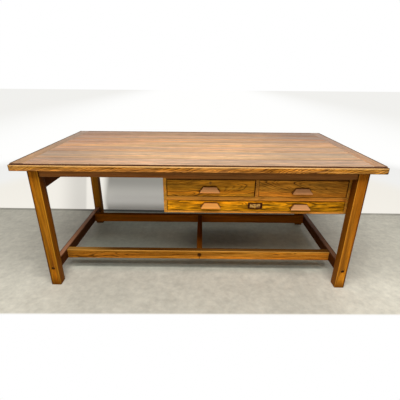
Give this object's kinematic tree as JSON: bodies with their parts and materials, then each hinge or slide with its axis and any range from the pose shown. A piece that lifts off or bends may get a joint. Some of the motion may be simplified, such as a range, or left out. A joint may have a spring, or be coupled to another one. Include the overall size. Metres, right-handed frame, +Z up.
{
  "type": "drafting table",
  "caption": "Long oak drafting table with a boarded top, square legs, a low stretcher frame and a hung case of sliding drawers.",
  "frame": {"origin": "on the floor at the centre of the table's outline", "axes": "+X along the table's length to the right, +Y to the back, +Z up; the drawers open towards -Y"},
  "size_m": [2.1546, 1.0876, 0.871],
  "materials": {
    "oak_top": "satin varnished oak, worn and sun-browned",
    "oak_edge": "satin varnished oak, orange",
    "oak_frame": "satin varnished oak, orange-brown",
    "oak_dark": "satin varnished oak, dark brown",
    "oak_front": "satin varnished oak, mid brown",
    "oak_pull": "satin varnished oak, lighter",
    "oak_case": "satin varnished oak",
    "oak_box": "unvarnished oak, matt",
    "dark_brass": "oxidised, dark brown",
    "dark_steel": "blackened"
  },
  "bodies": {
    "table": {"top_panel": "oak_top", "breadboard_end_left": "oak_top", "breadboard_end_right": "oak_top", "edge_strip_front": "oak_edge", "edge_strip_back": "oak_edge", "edge_strip_left": "oak_edge", "edge_strip_right": "oak_edge", "leg_front_left": "oak_frame", "leg_front_right": "oak_frame", "leg_back_left": "oak_frame", "leg_back_right": "oak_frame", "apron_front": "oak_dark", "apron_back": "oak_dark", "apron_left": "oak_dark", "apron_right": "oak_dark", "side_stretcher_left": "oak_frame", "side_stretcher_right": "oak_frame", "long_stretcher_front": "oak_frame", "long_stretcher_back": "oak_frame", "cross_stretcher": "oak_frame", "leg_bolt_front_left": "dark_steel", "leg_bolt_front_right": "dark_steel", "leg_bolt_back_left": "dark_steel", "leg_bolt_back_right": "dark_steel", "cross_bolt_front": "dark_steel", "cross_bolt_back": "dark_steel", "case_side_left": "oak_case", "case_side_right": "oak_case", "case_back": "oak_box", "case_bottom": "oak_case", "case_header": "oak_dark", "case_web_frame": "oak_front", "case_divider": "oak_case", "case_kicker_frame_left": "oak_box", "case_kicker_frame_right": "oak_box"},
    "left_drawer": {"left_drawer_front": "oak_front", "left_drawer_side_left": "oak_box", "left_drawer_side_right": "oak_box", "left_drawer_back": "oak_box", "left_drawer_bottom": "oak_box", "left_drawer_pull": "oak_pull", "lock_cylinder": "dark_brass"},
    "right_drawer": {"right_drawer_front": "oak_front", "right_drawer_side_left": "oak_box", "right_drawer_side_right": "oak_box", "right_drawer_back": "oak_box", "right_drawer_bottom": "oak_box", "right_drawer_pull": "oak_pull"},
    "lower_drawer": {"lower_drawer_front": "oak_front", "lower_drawer_side_left": "oak_box", "lower_drawer_side_right": "oak_box", "lower_drawer_back": "oak_box", "lower_drawer_bottom": "oak_box", "lower_drawer_pull_left": "oak_pull", "lower_drawer_pull_right": "oak_pull", "card_holder": "dark_brass", "card_holder_screw_left": "dark_brass", "card_holder_screw_right": "dark_brass"},
    "lock": {"lock_plug": "dark_brass"}
  },
  "joints": [
    {"name": "left_drawer_slide", "type": "slide", "parent": "table", "child": "left_drawer", "axis": [0, -1, 0], "range_m": [0, 0.5]},
    {"name": "right_drawer_slide", "type": "slide", "parent": "table", "child": "right_drawer", "axis": [0, -1, 0], "range_m": [0, 0.5]},
    {"name": "lower_drawer_slide", "type": "slide", "parent": "table", "child": "lower_drawer", "axis": [0, -1, 0], "range_m": [0, 0.5]},
    {"name": "lock_turn", "type": "hinge", "parent": "left_drawer", "child": "lock", "pos_m": [0.07595, -0.4268, 0.7252], "axis": [0, -1, 0], "range_deg": [0, 90]}
  ]
}
